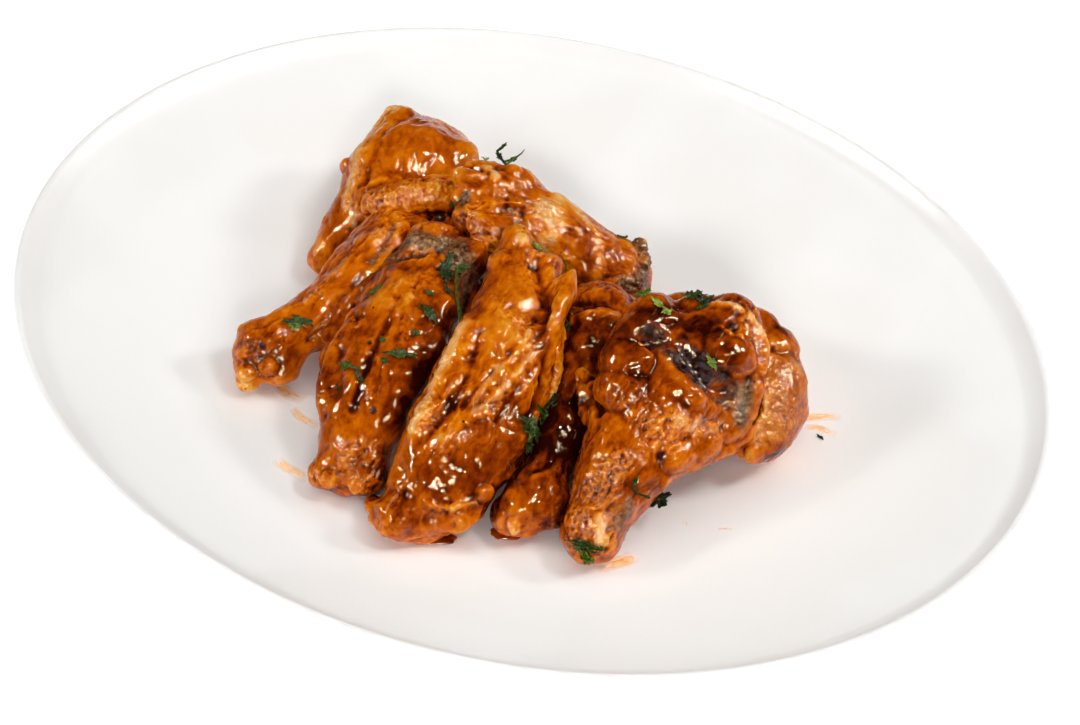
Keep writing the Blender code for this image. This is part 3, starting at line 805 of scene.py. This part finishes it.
# %% Right drumette
right = Wing("drumette_right", lumps=[((66, -19.5, 36.5), (8, 7, 6.5)), ((71, -24.5, 33.5), (8, 8, 7)), ((66, -52, 21), (5, 2.2, 3.2), (0, 30, 40))])
right.brush([(69, -29, 39), (73, -30, 38), (77, -29, 35)], 1.4, -1.2, sauce=0.3)
right.brush([(70, -18, 40), (72, -22, 38), (77, -25, 33)], 5.5, 0.3, sauce=0.3)
right.brush([(72, -36, 38), (70, -44, 34), (73, -42, 34), (67, -51, 25)], 9.0, 0.0, sauce=-0.2, fat=0.1, crisp=0.2)
right.brush([(66, -49, 20), (70, -53, 20), (76, -48, 22)], 3.0, 0.3, sauce=0.3)
right.brush([(74, -33, 36), (70, -44, 33), (70, -50, 26)], 16.0, 0.0, dry=0.7, crisp=0.25)
right.brush([(64, -50, 22), (67, -54, 20), (72, -52, 21)], 4.0, 0.2, sauce=0.7, dry=-0.5)
right.brush([(69, -20, 40), (73, -22, 38)], 5.0, 0.0, sauce=0.6, dry=-0.5)
right.weather(seed=91, wrinkle=0.5, swell=0.5, blister=0.2, glaze=0.1)
right.done()

# %% [markdown]
# ## Plate
# The plate is one oval of glazed porcelain. Its profile, from the foot ring up the gentle coupe curve to the rounded
# lip, is spun round and then drawn in to an oval. It is the CAD plate with many more steps, so that the long curve
# reflects the lights without a break.

# %% Plate
PLATE_HALF = 158.5
PLATE_HALF_WIDTH = 126.0
FLAT_SHARE = 0.42


def floor_height(share):
    """Height of the plate's inner surface at a share of the way out to its edge, in millimetres."""
    climb = max(0.0, (share - FLAT_SHARE) / (1 - FLAT_SHARE))
    return 7.5 + 17.8 * climb**2


def plate_section():
    """The half section from the underside's middle, round the lip, to the floor's middle."""
    foot = 0.53 * PLATE_HALF
    shares = np.linspace(0.55, 0.965, 22)
    points = [(0, 2.9), (foot - 5, 2.9), (foot - 3.6, 0.6), (foot - 3, 0), (foot + 1, 0), (foot + 3, 2.6)]
    points += [(PLATE_HALF * s, floor_height(s) - 4.6) for s in shares]
    for turn in np.linspace(-50, 140, 12):
        points.append((PLATE_HALF - 1.7 + 1.7 * cos(radians(turn)), 25.3 + 1.7 * sin(radians(turn))))
    points += [(PLATE_HALF * s, floor_height(s)) for s in shares[::-1]]
    points += [(PLATE_HALF * s, floor_height(s)) for s in (0.5, 0.46, FLAT_SHARE)]
    return [*points, (0, 7.5)]


def make_plate():
    """Spins the section round, and draws it in to an oval."""
    section = [(r * MM, 0, z * MM) for r, z in plate_section()]
    mesh = bpy.data.meshes.new("plate_porcelain")
    mesh.from_pydata(section, [(i, i + 1) for i in range(len(section) - 1)], [])
    plate = bpy.data.objects.new("plate_porcelain", mesh)
    bpy.context.scene.collection.objects.link(plate)
    only(plate)
    bpy.ops.object.mode_set(mode="EDIT")
    bpy.ops.mesh.select_all(action="SELECT")
    bpy.ops.mesh.spin(steps=168, angle=2 * pi, center=(0, 0, 0), axis=(0, 0, 1))
    bpy.ops.mesh.select_all(action="SELECT")
    bpy.ops.mesh.remove_doubles(threshold=0.00001)
    bpy.ops.mesh.normals_make_consistent(inside=False)
    bpy.ops.transform.resize(value=(1, PLATE_HALF_WIDTH / PLATE_HALF, 1), center_override=(0, 0, 0))
    bpy.ops.object.mode_set(mode="OBJECT")
    bpy.ops.object.shade_smooth_by_angle(angle=radians(35))
    return plate


def porcelain_finish():
    """White glaze, warmed a little where it is thick, over a body with barely seen waves."""
    porcelain = Finish("plate_glaze", Roughness=0.28, IOR=1.5, Specular_IOR_Level=0.1)
    here = porcelain.place()
    cloud = porcelain.noise(here, 14, 2, 0.5)
    porcelain.set("Base Color", porcelain.mix(tint(245, 245, 243), tint(241, 240, 237), cloud.step(0.4, 0.6)))
    porcelain.set("Normal", porcelain.bump(porcelain.noise(here, 30, 2, 0.4), 0.0004, 0.25))
    return porcelain.material


plate = make_plate()
plate.data.materials.append(porcelain_finish())
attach(plate, "root")
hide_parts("plate")
print("plate has", len(plate.data.polygons), "faces")

# %% [markdown]
# ## Parsley
# Chopped parsley is scattered over the wings: ragged bits of leaf that cling to the sauce, a stalk or two, and one
# dry sprig that stands up. A leaf starts as a flat disc with a few rings. Its rim is cut into lobes and teeth, it is
# stretched between two ends, and each of its points is dropped to just above the skin, so it drapes.


# %% Leaves and stalks
def leaf_blank(seed):
    """A disc of rings, one unit across, whose rim is cut into lobes and teeth."""
    bpy.ops.object.select_all(action="DESELECT")
    bpy.ops.mesh.primitive_circle_add(vertices=40, radius=1, fill_type="NGON")
    blank = bpy.context.object
    bpy.ops.object.mode_set(mode="EDIT")
    bpy.ops.mesh.select_all(action="SELECT")
    for _ in range(3):
        bpy.ops.mesh.inset(thickness=0.25)
    bpy.ops.mesh.poke()
    bpy.ops.object.mode_set(mode="OBJECT")
    rng = np.random.default_rng(seed)
    lobes, teeth, turn = rng.integers(2, 5), rng.integers(11, 16), rng.random(3) * 6
    for vertex in blank.data.vertices:
        x, y, _ = vertex.co
        angle, out = atan2(y, x), hypot(x, y)
        reach = 0.78 + 0.2 * sin(lobes * angle + turn[0]) + 0.14 * sin(teeth * angle + turn[1])
        frill = out * 0.3 * sin(6 * angle + turn[2])
        vertex.co = (x * (1 - out + out * reach), y * (1 - out + out * reach), frill)
    return blank


LEAVES = [leaf_blank(seed) for seed in range(5)]


def lay_leaf(start, end, width, shade, lift=0.5, on=None):
    """Lays a copy of a leaf between two points of the serving, draped on a piece."""
    start, end = Vector(start), Vector(end)
    blank = LEAVES[len(herbs) % len(LEAVES)]
    leaf = bpy.data.objects.new("leaf", blank.data.copy())
    bpy.context.scene.collection.objects.link(leaf)
    run = (end - start) / 2
    middle = (start + end) / 2
    up = Vector((0, -0.5, 0.85))
    if on:
        up = TO_SERVING @ np.array(on.closest_point_on_mesh(SERVING @ middle)[2])
        up = Vector(up).normalized()
    side = up.cross(run).normalized() * width / 2
    for vertex in leaf.data.vertices:
        x, y, z = vertex.co
        place = middle + run * x + side * y + up * (z * width + 0.2)
        if on:
            _, skin, normal, _ = on.closest_point_on_mesh(SERVING @ place)
            place = SERVING.inverted() @ (skin + normal * MM * (0.2 + lift * (0.4 + abs(z) * 4 + 0.5 * x * x)))
        vertex.co = SERVING @ place
    layer = leaf.data.attributes.new("shade", "FLOAT", "POINT")
    layer.data.foreach_set("value", np.full(len(leaf.data.vertices), shade, np.float32))
    applied(leaf, "SOLIDIFY", thickness=0.00018, offset=0)
    herbs.append(leaf)


def lay_stalk(line, radius, shade, on=None):
    """A thin stalk through points of the serving."""
    data = bpy.data.curves.new("stalk", "CURVE")
    data.dimensions, data.bevel_depth, data.bevel_resolution, data.use_fill_caps = "3D", radius * MM, 2, True
    spline = data.splines.new("POLY")
    spline.points.add(len(line) - 1)
    for knot, (place, thick) in zip(spline.points, ((p[:3], p[3] if len(p) > 3 else 1) for p in line)):
        place = SERVING @ Vector(place)
        if on:
            _, skin, normal, _ = on.closest_point_on_mesh(place)
            place = skin + normal * radius * MM
        knot.co, knot.radius = (*place, 1), thick
    stalk = bpy.data.objects.new("stalk", data)
    bpy.context.scene.collection.objects.link(stalk)
    only(stalk)
    bpy.ops.object.convert(target="MESH")
    stalk = bpy.context.object
    layer = stalk.data.attributes.new("shade", "FLOAT", "POINT")
    layer.data.foreach_set("value", np.full(len(stalk.data.vertices), shade, np.float32))
    herbs.append(stalk)


def parsley_finish():
    """Wet chopped parsley: dark green with paler, yellower bits, veined and slightly crinkled."""
    parsley = Finish("parsley", Roughness=0.32, IOR=1.45, Specular_IOR_Level=0.03)
    here = parsley.place()
    blotch = parsley.noise(here, 900, 4, 0.6, 0.5)
    tone = (parsley.attribute("shade") + (blotch - 0.5) * 1.1).clamp()
    green = tone.ramp(
        (0.0, tint(12, 18, 0)),
        (0.3, tint(34, 50, 1)),
        (0.6, tint(68, 92, 8)),
        (0.85, tint(118, 142, 34)),
        (1.0, tint(164, 180, 84)),
    )
    parsley.set("Base Color", green)
    parsley.set("Normal", parsley.bump(parsley.noise(here, 2600, 3, 0.6), 0.0003, 0.7))
    return parsley.material


bpy.context.view_layer.update()
herbs = []
FLAT, LEFT, FRONT, BEHIND = flat.piece, left.piece, front.piece, back_right.piece
lay_leaf((-68.5, -7, 28), (-60, -6, 27), 3.4, 0.35, on=drum_left.piece)
lay_leaf((-67, -8, 27), (-63, -8, 27), 2.4, 0.75, on=drum_left.piece)
lay_leaf((-43, -10, 40), (-38, -8, 42), 2.2, 0.5, on=LEFT)
lay_leaf((-50, -31, 35), (-45, -35, 36), 3.0, 0.5, on=LEFT)
lay_leaf((-46, -35, 36), (-43, -40, 36), 1.8, 0.35, on=LEFT)
lay_leaf((-38, -32, 40), (-28.5, -32, 39), 3.0, 0.4, on=LEFT)
lay_leaf((-39, -26, 41), (-37, -29, 41), 1.6, 0.55, on=LEFT)
lay_leaf((-38, -33, 39), (-36, -35, 39), 2.0, 0.4, on=LEFT)
lay_leaf((-28, -17, 44), (-24, -22, 41), 3.6, 0.35, on=LEFT)
lay_leaf((-30, -25, 42), (-27.5, -26, 41), 2.0, 0.5, on=LEFT)
lay_leaf((-27, -12, 45), (-24, -13, 44), 1.8, 0.45, on=LEFT)
lay_leaf((-20, 4, 45), (-22, -9, 44), 4.6, 0.3, 0.9, on=LEFT)
lay_leaf((-23, -3, 45), (-19, -5, 44), 3.6, 0.2, 1.0, on=LEFT)
lay_leaf((-21, -8, 44), (-20, -12, 42), 2.0, 0.3, on=LEFT)
lay_leaf((-19, -3, 44), (-14.5, 1, 43), 2.6, 0.4, 0.8, on=LEFT)
lay_stalk([(-17.5, -1, 44.5), (-18, -6, 44), (-17.8, -10, 42.5), (-17, -15, 41), (-16.5, -20, 40.5)], 0.45, 0.45)
lay_leaf((-50, -38, 33), (-49, -40, 33), 1.2, 0.2, on=LEFT)
lay_leaf((-18.5, 25, 46), (-16.5, 23, 47), 1.8, 0.4, on=BEHIND)
lay_leaf((3, 1, 52), (8, -1, 50), 2.0, 0.85, on=FLAT)
lay_leaf((14, -2, 47), (15, -5, 44), 1.8, 0.6, on=FLAT)
lay_leaf((-2.5, -53, 34), (6, -54, 29), 6.0, 0.35, 0.9, on=FLAT)
lay_leaf((4, -47, 32), (9, -47, 29), 4.4, 0.4, 0.9, on=FLAT)
lay_leaf((0, -57, 31), (5, -58, 27), 3.4, 0.25, 0.9, on=FLAT)
lay_leaf((1, -56, 32), (4, -50, 33), 4.2, 0.45, 0.9, on=FLAT)
lay_leaf((5, -51, 30), (11, -39, 33), 2.4, 0.2, 0.6, on=FLAT)
lay_leaf((13, -19, 41), (14, -23, 40), 1.6, 0.15, on=hidden.piece)
lay_leaf((32, -24, 54), (37, -24, 55), 3.2, 0.65, 0.8, on=FRONT)
lay_leaf((36, -26, 55), (40, -29, 54), 2.6, 0.85, on=FRONT)
lay_leaf((39, -31, 54), (42, -29, 53), 2.2, 0.85, on=FRONT)
lay_leaf((45, -21, 52), (52, -21, 53), 5.0, 0.35, 1.0, on=FRONT)
lay_leaf((49, -24, 53), (54, -23, 53), 3.0, 0.3, 0.9, on=FRONT)
lay_leaf((49, -28, 52), (52, -24, 53), 2.2, 0.4, on=FRONT)
lay_leaf((51, -43, 51), (54, -47, 48), 2.4, 0.75, on=FRONT)
lay_stalk([(32, -71, 32), (30.5, -74, 31), (33, -75, 29), (36, -74, 26.5)], 0.32, 0.25, on=FRONT)
lay_leaf((32, -71, 32), (31, -73.5, 31), 1.6, 0.35, on=FRONT)
lay_leaf((15, -85, 21), (21, -87, 22), 4.2, 0.35, 0.9, on=FRONT)
lay_leaf((17, -87, 20), (20, -89, 18), 3.2, 0.6, 0.8, on=FRONT)
lay_leaf((21, -87, 22.5), (23, -87.5, 22), 1.6, 0.5, on=FRONT)
lay_leaf((35, -71, 20), (42, -65, 19), 5.0, 0.05)
lay_leaf((85, -34, 9.4), (87, -36, 9.4), 0.9, 0.2)
lay_leaf((29, 24, 34), (32, 26, 31), 2.0, 0.4, on=BEHIND)
lay_leaf((-11, 35, 54), (-9, 35, 54), 2.0, 0.8, on=BEHIND)
lay_stalk([(-4, 32.5, 54), (-5.9, 33.5, 56), (-6.6, 33.9, 58), (-4.8, 33.6, 60), (-3.8, 34.2, 61, 0.4)], 0.4, 0.25)
lay_leaf((-5, 33, 55), (-7, 34, 57.5), 1.8, 0.2)
lay_leaf((-6.5, 34, 58), (-3.8, 34, 60.5), 1.2, 0.3)
lay_stalk([(-4, 32.5, 54), (-1.2, 34.5, 55, 0.9), (0.5, 35.2, 56, 0.6), (1.4, 35.6, 57.2, 0.3)], 0.35, 0.6)
lay_leaf((-5, 33, 54), (0, 35, 55), 1.5, 0.35)
for blank in LEAVES:
    bpy.data.objects.remove(blank)


def joined(parts, name, finish):
    """Joins parts into one piece with one finish."""
    bpy.ops.object.select_all(action="DESELECT")
    for part in parts:
        part.data.materials.clear()
        part.select_set(True)
    bpy.context.view_layer.objects.active = parts[0]
    bpy.ops.object.join()
    piece = bpy.context.object
    piece.name = name
    piece.data.materials.append(finish)
    piece.data.shade_smooth()
    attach(piece, "root")
    print(name, "has", len(piece.data.polygons), "faces")
    return piece


parsley = joined(herbs, "parsley", parsley_finish())

# %% [markdown]
# ## Sauce on the plate, and a chilli flake
# Serving leaves faint orange wipes on the porcelain, and thick sauce creeps out from under the wings that touch it.
# A wipe is a film with no depth to speak of, so it is a fine grid that follows the plate a tenth of a millimetre up.
# Numbers on its points say how much sauce is left there, and they drive its transparency, so its edge fades out.
# A pool does have depth: it is a flattened, uneven dome with a wet shine. The flake is a chip with bevelled edges.

# %% Wipes, pools and a flake
FILM_RISE = 0.06


def plate_height(x, y):
    """Height of the plate's inner surface below a point of the serving, in millimetres."""
    world_x, world_y, _ = TO_WORLD @ np.array((x, y, 0)) / MM
    return floor_height(hypot(world_x / PLATE_HALF, world_y / PLATE_HALF_WIDTH))


def lay_wipe(start, end, width, strength, seed):
    """A film of sauce between two points of the plate, strongest at its start."""
    bpy.ops.object.select_all(action="DESELECT")
    bpy.ops.mesh.primitive_grid_add(x_subdivisions=48, y_subdivisions=24, size=2)
    wipe = bpy.context.object
    points = np.array([v.co[:2] for v in wipe.data.vertices])
    run = (np.array(end) - start) / 2
    side = np.array((-run[1], run[0])) / np.linalg.norm(run) * width / 2
    bend = 0.5 * np.sin(points[:, 0] * 2 + seed)
    spots = (np.array(start) + end) / 2 + points[:, :1] * run + (points[:, 1:] + bend[:, None]) * side
    for vertex, (x, y) in zip(wipe.data.vertices, spots):
        vertex.co = SERVING @ Vector((x, y, plate_height(x, y) + FILM_RISE))
    streaks = smooth_noise(np.stack([points[:, 0] * 1.6, points[:, 1] * 2.6, np.full(len(points), seed)], 1), seed)
    edge = np.clip(1 - np.abs(points[:, 1]) ** 2, 0, 1) * np.clip(1 - points[:, 0] ** 2, 0, 1)
    ink = strength * np.clip(edge * (0.9 - 0.35 * points[:, 0]) * (0.8 + 0.6 * streaks), 0, 1)
    layer = wipe.data.attributes.new("ink", "FLOAT", "POINT")
    layer.data.foreach_set("value", ink.astype(np.float32))
    wipes.append(wipe)


def add_pool(place, radii, turn, seed):
    """A flattened, uneven dome of sauce on the plate."""
    bpy.ops.object.select_all(action="DESELECT")
    bpy.ops.mesh.primitive_uv_sphere_add(segments=64, ring_count=32, radius=1)
    pool = bpy.context.object
    for vertex in pool.data.vertices:
        x, y, z = vertex.co
        edge = 1 + 0.2 * smooth_noise(np.array([[x * 1.5, y * 1.5, seed]]), seed)[0]
        point = Matrix.Rotation(radians(turn), 3, "Z") @ Vector((x * radii[0] * edge, y * radii[1] * edge, 0))
        ground = plate_height(place[0] + point.x, place[1] + point.y)
        vertex.co = SERVING @ Vector((place[0] + point.x, place[1] + point.y, ground + max(z, -0.1) * radii[2]))
    pools.append(pool)


def sauce_finish(name, **plain):
    """Wet sauce, from orange to dark red."""
    sauce = Finish(name, IOR=1.47, Specular_IOR_Level=0.15, **plain)
    blotch = sauce.noise(sauce.place(), 160, 3, 0.5)
    tones = ((0.3, tint(196, 92, 6)), (0.5, tint(140, 52, 1)), (0.7, tint(84, 22, 0)))
    sauce.set("Base Color", blotch.ramp(*tones))
    return sauce


wipes, pools = [], []
lay_wipe((80, -26.2), (93, -28.2), 3.4, 0.9, 1)
lay_wipe((82, -30.2), (91, -34), 2.8, 0.8, 2)
lay_wipe((31, -78), (22, -86), 5.5, 1.0, 3)
lay_wipe((-73, -12), (-62, -18), 5.0, 0.8, 4)
lay_wipe((-66, -22), (-58, -30), 3.4, 0.8, 5)
lay_wipe((-68, -43), (-60, -53), 4.6, 0.75, 6)
lay_wipe((55, -69), (59, -70), 1.2, 0.5, 7)
lay_wipe((45.4, -66.6), (46.8, -67.2), 1.1, 0.7, 8)
film = Finish("sauce_film", Roughness=0.4, IOR=1.47, Specular_IOR_Level=0.02)
film.set("Base Color", film.noise(film.place(), 300, 2).ramp((0.35, tint(252, 196, 110)), (0.65, tint(246, 172, 76))))
film.set("Alpha", film.attribute("ink").clamp())
smears = joined(wipes, "sauce_wipes", film.material)
smears.visible_shadow = False
add_pool((-25, -72.5), (8, 3.2, 1.0), -8, 1)
add_pool((-3, -70), (5, 3, 0.9), 5, 2)
pooled = joined(pools, "sauce_pools", sauce_finish("pooled_sauce", Roughness=0.12).material)

bpy.ops.object.select_all(action="DESELECT")
bpy.ops.mesh.primitive_cylinder_add(vertices=9, radius=1, depth=0.35)
flake = bpy.context.object
skin_point = FRONT.closest_point_on_mesh(SERVING @ Vector((34, -39.5, 52)))
lean = (SERVING.inverted().to_3x3() @ skin_point[2]).normalized().to_track_quat("Z", "Y").to_matrix()
for vertex in flake.data.vertices:
    x, y, z = vertex.co
    ragged = 1 + 0.22 * sin(3 * atan2(y, x) + 1)
    curled = Vector((x * 0.95 * ragged, y * 1.35 * ragged, z + 0.3 * x * x + 0.3))
    vertex.co = skin_point[1] + SERVING.to_3x3() @ lean @ curled
applied(flake, "BEVEL", width=0.0001, segments=2)
chilli = Finish("chilli", Roughness=0.3, IOR=1.45, Specular_IOR_Level=0.2)
chilli.set("Base Color", chilli.noise(chilli.place(), 900, 3).ramp((0.35, tint(238, 150, 62)), (0.65, tint(206, 92, 26))))
joined([flake], "chilli_flake", chilli.material)

# %% [markdown]
# ## Floor and light
# A pale floor and soft light keep the eye on the food. Glaze needs two jobs from its lights, and here each job has
# its own lamps. The fills and the wide ceiling only light the surface, so they give form and soft shadows. The
# shines are small and bright, and only show as reflections: they draw the sharp white glints that make sauce look
# wet, without washing its colour out. A little light comes from the floor and the world all round.

# %% Floor
bpy.ops.object.select_all(action="DESELECT")
bpy.ops.mesh.primitive_plane_add(size=14)
floor = bpy.context.object
floor.name = "floor"
white = Finish("floor_white", Roughness=0.7)
white.set("Base Color", tint(252, 252, 252))
away = white.node("ShaderNodeVectorMath", {"operation": "LENGTH"}, {0: white.place()}, output=1)
white.set("Emission Color", white.mix((0.25, 0.25, 0.25), (0.7, 0.7, 0.7), away.step(0.6, 2.6)))
white.shader.inputs["Emission Strength"].default_value = 1.0
white.material.cycles.emission_sampling = "NONE"
floor.data.materials.append(white.material)
print("floor", white.material.name)


# %% Light
def add_softbox(name, direction, distance, size, power, shine=0):
    """A square lamp aimed at the pile by its direction in the serving's frame. With shine it only shows as glints."""
    data = bpy.data.lights.new(name, "AREA")
    data.size, data.energy = size, power
    lamp = bpy.data.objects.new(name, data)
    bpy.context.scene.collection.objects.link(lamp)
    way = (SERVING.to_3x3() @ Vector(direction)).normalized()
    lamp.location = SERVING @ Vector((5, -15, 25)) + way * distance
    lamp.rotation_euler = way.to_track_quat("Z", "Y").to_euler()
    lamp.visible_glossy, lamp.visible_diffuse = shine > 0, shine == 0
    if shine:
        data.use_nodes = True
        graph = Graph(data.node_tree)
        spot = graph.node("ShaderNodeNewGeometry", output="Parametric")
        across = graph.node("ShaderNodeSeparateXYZ", {}, {0: spot}, output="Y")
        graph.feed(data.node_tree.nodes["Emission"].inputs["Strength"], (across * 0.4 + 0.8) * shine)
    return lamp


BOXES = {
    "left": ((-0.85, -0.15, 0.55), 4.6),
    "right": ((0.85, 0.05, 0.6), 4.3),
    "front": ((0.06, -0.85, 0.52), 4.2),
    "top": ((0.5, -0.19, 0.845), 4.2),
}
for name, (direction, power) in BOXES.items():
    add_softbox(f"{name}_fill", direction, 1.3, 0.24, power)
    add_softbox(f"{name}_shine", direction, 1.3, 0.26, 5 * power, shine=6)
add_softbox("ceiling", (0, 0, 1), 1.4, 1.6, 9.5)
world = bpy.data.worlds.new("studio")
world.use_nodes = True
world.node_tree.nodes["Background"].inputs["Color"].default_value = (1, 1, 1, 1)
world.node_tree.nodes["Background"].inputs["Strength"].default_value = 0.06
bpy.context.scene.world = world
bpy.context.scene.view_settings.view_transform = "Standard"
